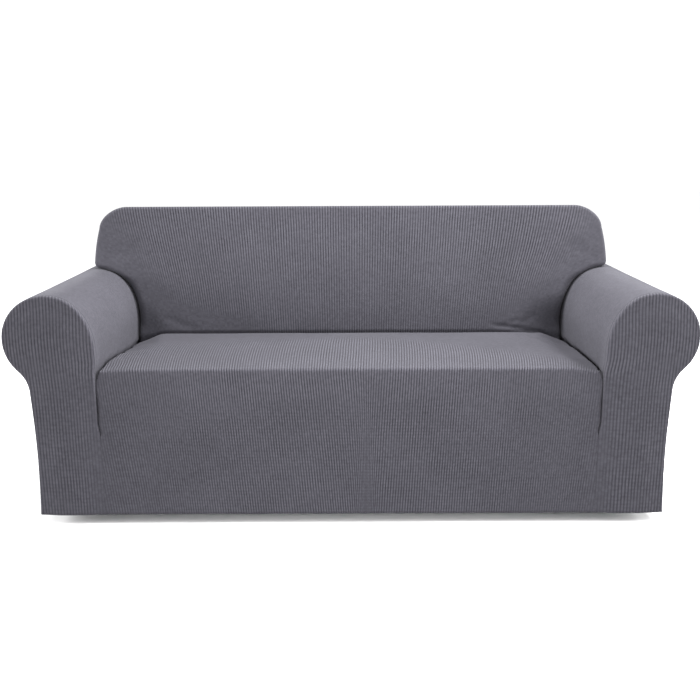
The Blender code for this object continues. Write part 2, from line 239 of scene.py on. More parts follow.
# Down the skirt they lean in from both sides to one upright rib, and more so at the sides
SKIRT_LEAN = {"left": 0.100, "right": 0.065, "outer": 0.035}
SKIRT_LEAN_TURNS = (-0.10, 0.10)
SKIRT_LEAN_GROWS = (0.40, 0.70)
UPRIGHT_RIB_X = 0.046
UPRIGHT_RIB_SIDE = 0.020
SKIRT_SEAM_SHARE = 0.35
SKIRT_OUTER_SHARE = 0.62
SKIRT_STRETCHED = (0.30, 0.65)

# Back along the seat they fan out, and the relief ends where the cloth is stretched out flat
SEAT_FAN = 0.34
SEAT_FAN_LENGTH = 0.8
SEAT_LEAN = 0.02
SEAT_RELIEF_BACK = 0.42
SEAT_RELIEF_FADE = 0.12
SEAT_RELIEF_FALL = {"left": 0.15, "right": 0.22, "right_curve": 0.45}

# Down the inside back they draw in, most at the sides, and they stand wider apart at the top right
BACK_RIBS_TOP = 0.899
BACK_RIBS_DRAW_IN = 0.20
BACK_FAN = 0.115
BACK_FAN_DROPS = (0.02, 0.42)
BACK_WIDE = 0.03
BACK_WIDE_X = 0.46
BACK_WIDE_SIDE = 0.05
BACK_WIDE_DROPS = (0.12, 0.32)
BACK_LOWER_SHARE = 0.72
BACK_LOWER_HEIGHTS = (0.48, 0.78)
BACK_RELIEF_FADE = 0.14

# Up the arm's front they lean outwards a little, and a little more at the foot of the roll
FRONT_RIBS_ACROSS = 0.905
FRONT_LINES_UP = 0.84
FRONT_LEAN = 0.015
FRONT_ROLL_LEAN = 0.022
FRONT_ROLL_LEAN_Z = 0.38
FRONT_ROLL_HEIGHTS = (0.50, 0.62)
FRONT_SEAM_SHARE = 0.30
FRONT_SEAM_HEIGHTS = (0.38, 0.44)

# Up the inside back: how far out on each side the relief goes before the cloth is stretched out flat
BACK_RELIEF_ENDS = (
    {"height": 0.380, "left": 0.20, "right": 0.30},
    {"height": 0.490, "left": 0.35, "right": 0.50},
    {"height": 0.520, "left": 0.48, "right": 0.53},
    {"height": 0.560, "left": 0.60, "right": 0.60},
    {"height": 0.640, "left": 0.66, "right": 0.68},
    {"height": 0.720, "left": 0.71, "right": 0.74},
    {"height": 0.830, "left": 0.80, "right": 0.80},
    {"height": 0.900, "left": 0.82, "right": 0.82},
)

# The camera, whose sensor and lens are in millimetres, and the floor under the sofa's feet
EYE_DISTANCE = 2.600
EYE_HEIGHT = 1.079
EYE_TILT = math.radians(12.5)
EYE_ROLL = math.radians(0.25)
SENSOR = 36.0
LENS = 47.726
FLOOR_Z = -0.030


# ---------------------------------------------------------------- numbers and runs of points


def clamped(value, low=0.0, high=1.0):
    return max(low, min(high, value))


def eased(value):
    """0 to 1 with a soft start and a soft end."""
    share = clamped(value)
    return share * share * (3 - 2 * share)


def mixed(start, end, share):
    return start + (end - start) * share


def rising(value, start, end):
    """0 up to start and 1 past end, eased between them."""
    return eased((value - start) / (end - start))


def falling(value, start, end):
    """1 up to start and 0 past end, eased between them."""
    return 1 - rising(value, start, end)


def steps(start, end, count):
    """count + 1 even values from start to end."""
    return [mixed(start, end, i / count) for i in range(count + 1)]


def cells(length):
    """How many cells of the mesh a length of cloth takes."""
    return max(2, round(abs(length) / CELL))


def evenly(start, end):
    return steps(start, end, cells(end - start))


def read(table, key, place, column):
    """A table's column at a place along its key, eased between its rows."""
    for low, high in zip(table, table[1:]):
        if place <= high[key]:
            share = (place - low[key]) / (high[key] - low[key])
            return mixed(low[column], high[column], eased(share))
    return table[-1][column]


def arc(centre, radius, start, end):
    """Points round an arc, with both of its ends."""
    turns = steps(start, end, cells(radius * (end - start)))
    return [(centre[0] + radius * math.cos(a), centre[1] + radius * math.sin(a)) for a in turns]


def joined(*runs):
    """One run of points out of several that each start where the last one ended."""
    points = list(runs[0])
    for run in runs[1:]:
        points += run[1:]
    return points


def both_halves(half):
    """Carries an outline on from the middle down the other side."""
    return half + [(-x, y) for x, y in reversed(half[:-1])]


# ---------------------------------------------------------------- outlines, for the side at +X


def neck_centre():
    """Centre of the hollow curve between the roll and the arm's outer side."""
    reach = ROLL_RADIUS + NECK_RADIUS
    return CROWN_X + reach * math.cos(ROLL_LEAVES), ROLL_CENTRE_Z + reach * math.sin(ROLL_LEAVES)


def hung_left(point):
    """How far a point of the cover hangs to the left, which is only near the tucks beside the skirt."""
    beside = rising(abs(point.x), *SHIFT_GROWS_X) * falling(abs(point.x), *SHIFT_FADES_X)
    return SEAM_SHIFT * beside * falling(point.z, *SHIFT_FADES_Z) * falling(point.y, *SHIFT_FADES_Y)


def outer_side():
    """From the hem up the outside of the arm, slightly waisted, to where the neck starts."""
    neck_x, neck_z = neck_centre()
    shares = [z / neck_z for z in evenly(0.0, neck_z)]
    side_x = neck_x - NECK_RADIUS
    return [(mixed(ARM_HEM_X, side_x, s) - SIDE_BOW * math.sin(math.pi * s), s * neck_z) for s in shares]


def roll(end_x=CROWN_X):
    """Out round the neck, then round the roll and over it to end_x, which is the crown or beside it."""
    neck = arc(neck_centre(), NECK_RADIUS, math.pi, math.pi + ROLL_LEAVES)
    end = math.acos((end_x - CROWN_X) / ROLL_RADIUS)
    return joined(neck, arc((CROWN_X, ROLL_CENTRE_Z), ROLL_RADIUS, ROLL_LEAVES, end))


def inner_curve(clear=0.0):
    """From the crown of the arm to the top of its straight inner wall, moved off the arm by clear."""
    across = CROWN_X - ARM_INNER_X + clear
    up = CROWN_Z - INNER_WALL_TOP + clear
    power = 2 / INNER_FULLNESS
    turns = steps(math.pi / 2, 0, cells(across + up))
    corner = [(max(math.cos(a), 0.0) ** power, math.sin(a) ** power) for a in turns]
    return [(CROWN_X - across * x, INNER_WALL_TOP + up * z) for x, z in corner]


def inner_side_x(z):
    """The arm's inner side, and below the tuck its seam with the skirt."""
    return ARM_INNER_X - SEAM_IN * falling(z, SEAM_IN_Z, SEAM_STRAIGHT_Z)


def arm_outline(foot_z):
    """The arm's section: up its outside, over the roll and the crown, and down its inner wall."""
    wall = [(inner_side_x(z), z) for z in evenly(INNER_WALL_TOP, foot_z)]
    return joined(outer_side(), roll(), inner_curve(), wall)


def back_side(foot_z):
    """Up the side of the back from the arm's crown to the shoulder, leaning in a little."""
    heights = evenly(foot_z, SHOULDER_Z)
    shares = [(z - CROWN_Z) / (SHOULDER_Z - CROWN_Z) for z in heights]
    return [(mixed(BACK_SIDE_X, SHOULDER_X, s * s), z) for s, z in zip(shares, heights)]


def shoulder_and_top():
    """Round the shoulder and along the top to the middle of the back."""
    across, up = SHOULDER_X - TOP_CORNER_X, TOP_HEIGHT - SHOULDER_Z
    power = 2 / SHOULDER_FULLNESS
    turns = steps(0, math.pi / 2, cells(across * math.pi / 2))
    corner = [(max(math.cos(a), 0.0) ** power, math.sin(a) ** power) for a in turns]
    shoulder = [(TOP_CORNER_X + across * x, SHOULDER_Z + up * z) for x, z in corner]
    return joined(shoulder, [(x, TOP_HEIGHT) for x in evenly(TOP_CORNER_X, 0)])


def rear_height(z):
    """Where a height of the back's front comes to at its rear: the top falls away behind."""
    return z - TOP_FALL * rising(z, CROWN_Z, TOP_HEIGHT)


def inside_back_outline():
    """Up the arm's inner wall, over the arm to its crown, up the side of the back and along the top."""
    wall = [(SEAT_SIDE_X, z) for z in evenly(TUCK_BOTTOM, INNER_WALL_TOP)]
    turn_x, turn_z = BACK_SIDE_X - CROWN_TURN, CROWN_Z + TUCK_GAP + CROWN_TURN
    over_arm = [p for p in reversed(inner_curve(TUCK_GAP)) if p[0] < turn_x - SAME_PLACE]
    turn = arc((turn_x, turn_z), CROWN_TURN, -math.pi / 2, 0)
    return joined(wall, over_arm) + joined(turn, back_side(turn_z), shoulder_and_top())


def outside_back_outline():
    """Up the outside of the arm, round its roll to the crown, up the side of the back and along the top."""
    back = [(x, rear_height(z)) for x, z in joined(back_side(CROWN_Z + CROWN_TURN), shoulder_and_top())]
    return joined(outer_side(), roll(BACK_SIDE_X)) + back


def seat_length():
    """From the hem up the skirt and back along the seat to its rear crease."""
    return SEAT_STARTS + SEAT_REAR_Y - skirt_y(SKIRT_HEIGHT) - SEAT_EDGE_RADIUS


def seat_stations():
    """Places up the skirt, round the seat's front edge and back along the seat."""
    edge = steps(SKIRT_HEIGHT, SEAT_STARTS, ROLL_ROWS)
    return joined(evenly(0.0, SKIRT_HEIGHT), edge, evenly(SEAT_STARTS, seat_length() - SEAT_CORNER))


def seat_outline():
    """The seat and skirt laid flat: up its side from the hem, round the rear corner, in to the middle."""
    length = seat_length()
    side = [(SEAT_SIDE_X, along) for along in seat_stations()]
    turn_x = SEAT_SIDE_X - SEAT_CORNER
    corner = arc((turn_x, length - SEAT_CORNER), SEAT_CORNER, 0, math.pi / 2)
    return joined(side, corner, [(x, length) for x in evenly(turn_x, 0)])


# ---------------------------------------------------------------- flat panels


def outward_directions(outline):
    """Unit directions at right angles to an outline that has the panel on its left. Its ends are level."""
    found = []
    for i in range(len(outline)):
        before, after = outline[max(i - 1, 0)], outline[min(i + 1, len(outline) - 1)]
        across, up = after[0] - before[0], after[1] - before[1]
        size = math.hypot(across, up)
        found.append((up / size, -across / size))
    found[0], found[-1] = (1.0, 0.0), (-1.0, 0.0)
    return found


def rolled_edge(radius, count=ROLL_ROWS):
    """Steps round a rolled edge: in from the outline, behind the face, and along the cloth."""
    turns = steps(0, math.pi / 2, count)
    return [(radius * (1 - math.sin(a)), radius * (1 - math.cos(a)), radius * a) for a in turns]


def carried_on(edge, depths):
    """Adds steps straight back from a rolled edge to each depth."""
    _, start, along = edge[-1]
    return edge + [(0.0, depth, along + depth - start) for depth in depths]


def seam_lip(edge):
    """Ends an end panel's edge in a short lip whose last few millimetres are drawn in by the stitches."""
    depth = END_ROLL + END_LIP
    lipped = carried_on(edge, [depth - SEAM_DIP_REACH, depth - SEAM_DIP_REACH / 2, depth])
    inset, last, along = lipped[-1]
    return lipped[:-1] + [(inset + SEAM_DIP, last, along)]


def sheet(columns, rows, place):
    """An open grid of columns by rows. place gives a corner's point and its place on the flat cloth."""
    bm = bmesh.new()
    flat = bm.verts.layers.float_vector.new("flat")
    bmesh.ops.create_grid(bm, x_segments=columns, y_segments=rows, size=0.5)
    for vert in bm.verts:
        column, row = round((vert.co.x + 0.5) * columns), round((vert.co.y + 0.5) * rows)
        vert.co, vert[flat] = place(column, row)
    return bm


def flat_panel(outline, edge_of, cuts):
    """A panel laid flat in X and Y, with the depth behind its face in Z.

    edge_of gives the steps of the edge at a point of the outline, and cuts the grid drawn on the face.
    """
    outward = outward_directions(outline)
    edges = [edge_of(*point) for point in outline]

    def place(column, row):
        inset, depth, along = edges[column][row]
        start = edges[column][0][0]
        (x, y), (out_x, out_y) = outline[column], outward[column]
        point = (x - out_x * inset, y - out_y * inset, depth)
        return point, (x + out_x * (along - start), y + out_y * (along - start), 0.0)

    columns = len(outline) - 1
    bm = sheet(columns, len(edges[0]) - 1, place)
    flat = bm.verts.layers.float_vector["flat"]
    ring = [bm.verts.new(place(column, 0)[0]) for column in range(columns + 1)]
    for vert in ring:
        vert[flat] = vert.co
    bm.faces.new(ring)
    bmesh.ops.remove_doubles(bm, verts=bm.verts, dist=WELD)
    for axis, places in enumerate(cuts):
        for where in places:
            cut_face(bm, axis, where)
    bmesh.ops.triangulate(bm, faces=[f for f in bm.faces if len(f.verts) > 4])
    return bm


def cut_face(bm, axis, where):
    """Draws one line of the grid across the flat face."""
    near = [f for f in bm.faces if any((v.co[axis] - where) <= 0 for v in f.verts)]
    crossed = [f for f in near if any((v.co[axis] - where) >= 0 for v in f.verts)]
    face = [f for f in crossed if all(abs(v.co.z) < WELD for v in f.verts)]
    around = {e for f in face for e in f.edges} | {v for f in face for v in f.verts}
    point, normal = [0.0] * 3, [0.0] * 3
    point[axis], normal[axis] = where, 1.0
    geometry = face + list(around)
    bmesh.ops.bisect_plane(bm, geom=geometry, dist=SAME_PLACE, plane_co=point, plane_no=normal)


def turn_faces(bm, direction):
    """Turns the faces so that the cloth's right side, as a whole, looks along direction."""
    bmesh.ops.recalc_face_normals(bm, faces=bm.faces)
    if sum(f.calc_area() * f.normal.dot(Vector(direction)) for f in bm.faces) < 0:
        bmesh.ops.reverse_faces(bm, faces=bm.faces)


# ---------------------------------------------------------------- pulls and creases


# A crease runs on past both of its ends as it fades, and its cloth stands up in a low lip on either side
CREASE_PAST = 0.3
CREASE_FADE = 0.36
CREASE_LIP = 0.7

# How wide the lumps of the padding are, and how far each panel's face is in or out over them
LUMP = 0.21
PADDING = {
    "seat_and_skirt": {"seed": 1.0, "size": 0.0012},
    "inside_back": {"seed": 2.0, "size": 0.0016},
    "outside_back": {"seed": 3.0, "size": 0.0012},
    "arm": {"seed": 4.0, "size": 0.0014},
    "arm_front": {"seed": FRONT, "size": 0.0010},
}

# How far behind its face, or in from its seams, a panel's pulls and lumps have faded out
SEAT_PULL_DEPTH = 0.020
BACK_PULL_DEPTH = 0.060
END_PULL_DEPTH = 0.010
ARM_PULL_REACH = 0.030


def soft_trough(x, y, crease):
    """How far in a crease draws the cloth at a point of the flat panel, with low lips at its sides."""
    (x0, y0), (x1, y1) = crease["from"], crease["to"]
    run_x, run_y = x1 - x0, y1 - y0
    length = math.hypot(run_x, run_y)
    along = ((x - x0) * run_x + (y - y0) * run_y) / length**2
    if not -CREASE_PAST < along < 1 + CREASE_PAST:
        return 0.0
    bend = crease["bend"] * math.sin(math.pi * clamped(along))
    off = ((x - x0) * run_y - (y - y0) * run_x) / length - bend
    fade = math.exp(-(((along - 0.5) / CREASE_FADE) ** 4))
    ratio = (off / crease["width"]) ** 2
    return crease["depth"] * fade * (1 - CREASE_LIP * ratio) * math.exp(-ratio)


def drawn_in(x, y, creases):
    return sum(soft_trough(x, y, crease) for crease in creases)


def unevenness(x, y, panel):
    """The soft lumps of padding under stretched cloth."""
    lumps = PADDING[panel]
    return lumps["size"] * noise.noise(Vector((x / LUMP, y / LUMP, lumps["seed"])))


# ---------------------------------------------------------------- the cut panels


def skirt_y(height):
    return FRONT + read(SKIRT_SIDE, "along", height, "set_back")


def side_of(x):
    return "right" if x > 0 else "left"


def seat_height(x, y):
    """The seat is nearly level, and drawn down along its sides, most of all at the rear."""
    share = clamped((y - FRONT) / (SEAT_REAR_Y - FRONT))
    crown = SEAT_CROWN * math.sin(math.pi * share) * (1 - (x / SEAT_SIDE_X) ** 4)
    side = side_of(x)
    drop = read(SEAT_SIDES, "back", y - FRONT, side)
    reach = read(SEAT_SIDES, "back", y - FRONT, side + "_reach")
    middle = mixed(SEAT_FRONT_Z, SEAT_REAR_Z, rising(share, 0.0, SEAT_RISE_SHARE))
    return middle + crown - drop * falling(SEAT_SIDE_X - abs(x), 0.0, reach)


def tuck_hollow(side, y, z):
    """How far the arm's inner wall is drawn in, where it goes down beside the seat."""
    start_z = seat_height(side * SEAT_SIDE_X, y) + HOLLOW_STARTS
    opening = falling(z, start_z - HOLLOW_REACH, start_z)
    closing = rising(z, TUCK_BOTTOM, TUCK_BOTTOM + HOLLOW_CLOSES)
    return TUCK_HOLLOW * opening * closing * rising(y, FRONT_SEAM_Y, FRONT_SEAM_Y + HOLLOW_FADE)


def width_share(along, deep=0.0):
    """The width of the seat and skirt beside the arms' fronts, as a share of the room between the arms.

    The front corners draw in at the face, and deep in the tuck they lie against the arms again.
    """
    if along <= SKIRT_HEIGHT:
        corner = CORNER_IN * (1 - deep) * rising(along, CORNER_IN_Z, SKIRT_HEIGHT)
        return (inner_side_x(along) - corner) / ARM_INNER_X
    fades = falling(along, SEAT_STARTS, SEAT_STARTS + CORNER_IN_REACH)
    return 1 - CORNER_IN * (1 - deep) / ARM_INNER_X * fades


def squared(x, along, deep):
    """Carries the seat's round rear corner out into the square corner of the sofa, deep in the tuck."""
    turn_x, turn_along = SEAT_SIDE_X - SEAT_CORNER, seat_length() - SEAT_CORNER
    over_x, over_along = abs(x) - turn_x, along - turn_along
    if min(over_x, over_along) <= 0.0:
        return x, along
    share = mixed(1.0, math.hypot(over_x, over_along) / max(over_x, over_along), deep)
    return math.copysign(turn_x + over_x * share, x), turn_along + over_along * share


def corner_hollow(x, height):
    """How far the foot of the back is drawn in behind the seat, towards each arm."""
    corner = BACK_CORNERS[side_of(x)]
    from_side, from_foot = SEAT_SIDE_X - abs(x), height - BACK_FOOT_Z
    return corner["depth"] * eased(1 - math.hypot(from_side / corner["across"], from_foot / corner["up"]))


def seat_shape(x, along, depth):
    """Folds the flat panel over the seat's front edge, and its side and rear edges into the tucks."""
    deep = rising(depth, *CORNER_SQUARE_DEPTHS)
    x, along = squared(x, along, deep)
    x *= width_share(along, deep)
    radius = max(SEAT_EDGE_RADIUS - depth, TIGHTEST_TURN)
    centre_y = skirt_y(SKIRT_HEIGHT) + depth + radius
    centre_z = SEAT_FRONT_Z - depth - radius
    if along <= SKIRT_HEIGHT:
        return x, skirt_y(along) + depth, along * centre_z / SKIRT_HEIGHT
    y = mixed(centre_y, SEAT_REAR_Y, (along - SEAT_STARTS) / (seat_length() - SEAT_STARTS))
    if along < SEAT_STARTS:
        turn = math.pi - (along - SKIRT_HEIGHT) / SEAT_EDGE_RADIUS
        lowered = (SEAT_FRONT_Z - seat_height(x, centre_y)) * math.sin(turn)
        y, z = centre_y + radius * math.cos(turn), centre_z + radius * math.sin(turn) - lowered
        return x, y, z
    z = max(seat_height(x, y) - depth, TUCK_BOTTOM)
    to_rear = rising(y, SEAT_REAR_Y - REAR_TUCK_REACH, SEAT_REAR_Y) * rising(depth, *REAR_TUCK_DEPTHS)
    under_back = REAR_CORNER_TUCK * rising(depth, *REAR_CORNER_DEPTHS)
    under_back *= falling(SEAT_SIDE_X - abs(x), *REAR_CORNER_SIDES)
    return x, y + (corner_hollow(x, z) + under_back) * to_rear, z


SEAT_CREASES = (
    {"from": (0.60, 0.97), "to": (0.72, 0.86), "width": 0.022, "depth": 0.0030, "bend": 0.006},
    {"from": (0.62, 0.90), "to": (0.71, 0.72), "width": 0.026, "depth": 0.0026, "bend": 0.008},
    {"from": (0.55, 0.95), "to": (0.66, 0.80), "width": 0.028, "depth": 0.0016, "bend": 0.010},
    {"from": (-0.72, 0.95), "to": (-0.60, 0.99), "width": 0.016, "depth": 0.0028, "bend": 0.003},
    {"from": (-0.71, 0.90), "to": (-0.64, 0.78), "width": 0.024, "depth": 0.0018, "bend": -0.006},
)


def seat_knit(x, along):
    """Where the ribs run on the seat and skirt: they draw in on their way down, from both sides."""
    x *= width_share(along)
    rib = RIBS_ACROSS * x - RIB_SWAY * math.sin(2 * math.pi * x / RIB_SWAY_WIDTH)
    drop = SKIRT_HEIGHT - along
    if drop >= 0:
        lean = mixed(SKIRT_LEAN["left"], SKIRT_LEAN["right"], rising(x, *SKIRT_LEAN_TURNS))
        lean += SKIRT_LEAN["outer"] * rising(abs(x), *SKIRT_LEAN_GROWS)
        rib += lean * drop * math.tanh((x - UPRIGHT_RIB_X) / UPRIGHT_RIB_SIDE)
        seam = mixed(SKIRT_SEAM_SHARE, 1.0, rising(SEAT_SIDE_X - abs(x), 0.0, SEAM_SMOOTH))
        outer = mixed(1.0, SKIRT_OUTER_SHARE, rising(abs(x), *SKIRT_STRETCHED))
        return rib, along, SKIRT_RELIEF * seam * outer
    back = -drop
    rib -= SEAT_FAN * x * back * (1 - back / SEAT_FAN_LENGTH) + SEAT_LEAN * back
    ends = SEAT_RELIEF_BACK - seat_relief_fall(x)
    return rib, along, SEAT_RELIEF * falling(back - ends, -SEAT_RELIEF_FADE / 2, SEAT_RELIEF_FADE / 2)


def seat_relief_fall(x):
    """How much nearer the front the seat's relief ends, towards each side."""
    if x > 0:
        return SEAT_RELIEF_FALL["right"] * x + SEAT_RELIEF_FALL["right_curve"] * x * x
    return -SEAT_RELIEF_FALL["left"] * x


def seat_and_skirt():
    """The one panel that covers the seat, hangs down in front and is tucked in on three sides."""

    def edge_of(_, along):
        tuck = read(SKIRT_SIDE, "along", along, "tuck")
        edge = rolled_edge(read(SKIRT_SIDE, "along", along, "roll"))
        return carried_on(edge, steps(edge[-1][1], tuck, TUCK_ROWS)[1:])

    across = evenly(-SEAT_SIDE_X, SEAT_SIDE_X)[1:-1]
    bm = flat_panel(both_halves(seat_outline()), edge_of, (across, seat_stations()[1:-1]))
    for vert in bm.verts:
        x, along, depth = vert.co
        pull = drawn_in(x, along, SEAT_CREASES) + unevenness(x, along, "seat_and_skirt")
        vert.co = seat_shape(x, along, depth + pull * falling(depth, 0.0, SEAT_PULL_DEPTH))
    turn_faces(bm, (0, -1, 1))
    return bm, seat_knit


BACK_CREASES = (
    {"from": (0.470, 0.472), "to": (0.640, 0.449), "width": 0.010, "depth": 0.0048, "bend": 0.002},
    {"from": (0.520, 0.462), "to": (0.600, 0.488), "width": 0.011, "depth": 0.0022, "bend": -0.003},
    {"from": (0.580, 0.462), "to": (0.650, 0.515), "width": 0.011, "depth": 0.0028, "bend": 0.003},
    {"from": (-0.67, 0.512), "to": (-0.52, 0.452), "width": 0.014, "depth": 0.0018, "bend": 0.003},
    {"from": (-0.86, 0.70), "to": (-0.70, 0.76), "width": 0.030, "depth": 0.0016, "bend": 0.010},
    {"from": (0.86, 0.69), "to": (0.70, 0.78), "width": 0.030, "depth": 0.0016, "bend": -0.010},
)


def back_knit(x, height):
    """Where the ribs run on the inside back: they draw in on their way down, most at the sides."""
    drop = TOP_HEIGHT - height
    rib = x * (BACK_RIBS_TOP + BACK_RIBS_DRAW_IN * drop) + BACK_FAN * x**3 * rising(drop, *BACK_FAN_DROPS)
    past = x - BACK_WIDE_X
    rib -= BACK_WIDE * (past + math.hypot(past, BACK_WIDE_SIDE)) * falling(drop, *BACK_WIDE_DROPS)
    past_end = abs(x) - read(BACK_RELIEF_ENDS, "height", height, side_of(x))
    lower = mixed(BACK_LOWER_SHARE, 1.0, rising(height, *BACK_LOWER_HEIGHTS))
    return rib, height, BACK_RELIEF * lower * falling(past_end, -BACK_RELIEF_FADE / 2, BACK_RELIEF_FADE / 2)


def inside_back_face(x, height):
    """How far back the face of the inside back is: it leans, bellies out, and is drawn in at its foot."""
    lean = BACK_LEAN * max(height - BACK_FOOT_Z, 0.0)
    rise = clamped((height - BACK_FOOT_Z) / (TOP_HEIGHT - BACK_FOOT_Z))
    belly = BACK_BELLY * math.sin(math.pi * rise) * clamped(1 - (x / SEAT_SIDE_X) ** 2)
    crease_z = seat_height(x, SEAT_REAR_Y)
    undercut = UNDERCUT * falling(height, crease_z, crease_z + UNDERCUT_RISE)
    return BACK_FOOT_Y + lean - belly + corner_hollow(x, height) + undercut


def inside_back():
    """The inside back, which is tucked in behind the arms and wraps over the top to the rear seam."""

    def edge_of(x, height):
        edge = rolled_edge(read(BACK_EDGE, "height", height, "roll"), BACK_ROLL_ROWS)
        face_y = inside_back_face(x, height)
        tuck = max(BACK_TUCK_Y - face_y, edge[-1][1] + SHORTEST_RUN)
        seam = REAR_SEAM_Y - SEAM_GAP - face_y
        wrap = steps(tuck, seam - SEAM_DIP_REACH, TOP_ROWS)[1:] + [seam - SEAM_DIP_REACH / 2, seam]
        carried = carried_on(edge, steps(edge[-1][1], tuck, BACK_TUCK_ROWS)[1:] + wrap)
        return carried[:-1] + [(SEAM_DIP, carried[-1][1], carried[-1][2])]

    foot = steps(BACK_FOOT_Z, FINE_TO_Z, FINE_ROWS)
    heights = joined(evenly(TUCK_BOTTOM, BACK_FOOT_Z), foot, evenly(FINE_TO_Z, TOP_HEIGHT))
    cuts = (evenly(-CROWN_X, CROWN_X)[1:-1], heights[1:-1])
    bm = flat_panel(both_halves(inside_back_outline()), edge_of, cuts)
    for vert in bm.verts:
        x, height, depth = vert.co
        pull = drawn_in(x, height, BACK_CREASES) + unevenness(x, height, "inside_back")
        y = inside_back_face(x, height) + depth + pull * falling(depth, 0.0, BACK_PULL_DEPTH)
        edge_y = inside_back_face(x, height) + read(BACK_EDGE, "height", height, "roll")
        wrapped = clamped((y - edge_y) / (REAR_SEAM_Y - edge_y))
        clear = BACK_GAP * falling(height, *BACK_GAP_FADES_Z) * rising(abs(x), *BACK_GAP_GROWS_X)
        clear *= falling(y, *BACK_GAP_FADES_Y)
        vert.co = (x - math.copysign(clear, x), y, mixed(height, rear_height(height), wrapped))
    crown = CROWN_Z + TUCK_GAP
    middles = {f: f.calc_center_median() for f in bm.faces}
    tucked = [f for f, m in middles.items() if m.y > BACK_TUCK_Y + WELD and m.z < crown]
    bmesh.ops.delete(bm, geom=tucked, context="FACES")
    turn_faces(bm, (0, -1, 0.3))
    return bm, back_knit


def outside_back():
    """The outside back, across the whole rear of the sofa with the ends of the arms."""
    outline = both_halves(outside_back_outline())
    cuts = (evenly(-WIDEST_X, WIDEST_X), evenly(0.0, TOP_HEIGHT)[1:-1])
    edge = seam_lip(rolled_edge(END_ROLL))
    bm = flat_panel(outline, lambda *_: edge, cuts)
    for vert in bm.verts:
        x, height, depth = vert.co
        pull = unevenness(x, height, "outside_back") * falling(depth, 0.0, END_PULL_DEPTH)
        vert.co = (x, REAR - depth - abs(pull), height)
    turn_faces(bm, (0, 1, 0))
    return bm, lambda x, height: (x, height, SKIRT_RELIEF)


def arm_front_knit(x, height):
    """Where the ribs run on the arm's front: nearly upright, leaning a little outwards on their way up."""
    at_roll = max(height - FRONT_ROLL_LEAN_Z, 0.0) * falling(height, *FRONT_ROLL_HEIGHTS)
    lean = FRONT_LEAN * height + FRONT_ROLL_LEAN * at_roll
    off_seam = rising(x, ARM_INNER_X, ARM_INNER_X + SEAM_SMOOTH)
    relief = ARM_RELIEF * mixed(FRONT_SEAM_SHARE, 1.0, max(off_seam, rising(height, *FRONT_SEAM_HEIGHTS)))
    return x * FRONT_RIBS_ACROSS - lean, height * FRONT_LINES_UP, relief


def arm_front():
    """The front of the arm at +X, crowned a little, its edge rolled back to the seam all round."""
    outline = arm_outline(0.0)
    cuts = (evenly(ARM_INNER_X, WIDEST_X + CELL)[1:], evenly(0.0, CROWN_Z)[1:-1])

    def edge_of(x, height):
        rolled = rising(height, *SEAM_ROLLS_Z) if x < ARM_INNER_X + WELD else 1.0
        return seam_lip(rolled_edge(mixed(FLAT_SEAM_ROLL, END_ROLL, rolled)))

    bm = flat_panel(outline, edge_of, cuts)
    rim = outline[::3]
    for vert in bm.verts:
        x, height, depth = vert.co
        from_rim = min(math.hypot(x - rim_x, height - rim_z) for rim_x, rim_z in rim)
        crown = ARM_FRONT_CROWN * falling(from_rim, END_ROLL, END_ROLL + CROWN_REACH)
        pull = unevenness(x, height, "arm_front") * falling(depth, 0.0, END_PULL_DEPTH)
        vert.co = (x, FRONT + crown + depth + pull, height)
    turn_faces(bm, (0, -1, 0))
    return bm, arm_front_knit


ARM_CREASES = (
    {"from": (0.165, 1.02), "to": (0.06, 1.10), "width": 0.016, "depth": 0.0020, "bend": 0.004},
    {"from": (0.170, 1.20), "to": (0.02, 1.16), "width": 0.020, "depth": 0.0018, "bend": 0.006},
    {"from": (-0.385, 1.28), "to": (-0.30, 1.19), "width": 0.010, "depth": 0.0020, "bend": 0.003},
)


def arm(side):
    """The cloth over an arm, from its outer hem over the roll and down into the tuck by the seat.

    It is made at +X. side is -1 where add_piece then flips it over, to fit the seat's other side.
    """
    section = arm_outline(TUCK_BOTTOM)
    around = [0.0]
    for before, after in zip(section, section[1:]):
        around.append(around[-1] + math.dist(before, after))
    outward = outward_directions(section)
    front, rear = FRONT_SEAM_Y + SEAM_GAP, REAR_SEAM_Y - SEAM_GAP
    dip_ends = [front, front + SEAM_DIP_REACH / 2]
    body = joined(evenly(front + SEAM_DIP_REACH, BACK_TUCK_Y), evenly(BACK_TUCK_Y, rear - SEAM_DIP_REACH))
    stations = dip_ends + body + [rear - SEAM_DIP_REACH / 2, rear]

    def place(column, row):
        (x, z), (out_x, out_z), y = section[column], outward[column], stations[row]
        x += tuck_hollow(side, y, z) if x < CROWN_X else 0.0
        edge = min(y - front, rear - y)
        pull = drawn_in(y, around[column], ARM_CREASES) + unevenness(y, around[column], "arm")
        pull = pull * rising(edge, 0.0, ARM_PULL_REACH) + (SEAM_DIP if edge < WELD else 0.0)
        return (x - out_x * pull, y, z - out_z * pull), (y, around[column], 0.0)

    bm = sheet(len(section) - 1, len(stations) - 1, place)
    middles = {f: f.calc_center_median() for f in bm.faces}
    under_back = BACK_SIDE_X - CROWN_TURN
    behind = [f for f, m in middles.items() if m.y > BACK_TUCK_Y and m.x < under_back]
    bmesh.ops.delete(bm, geom=behind, context="FACES")
    turn_faces(bm, (1, 0, 0))
    return bm, lambda y, round_arm: (y, round_arm, ARM_RELIEF)


# ---------------------------------------------------------------- the knit


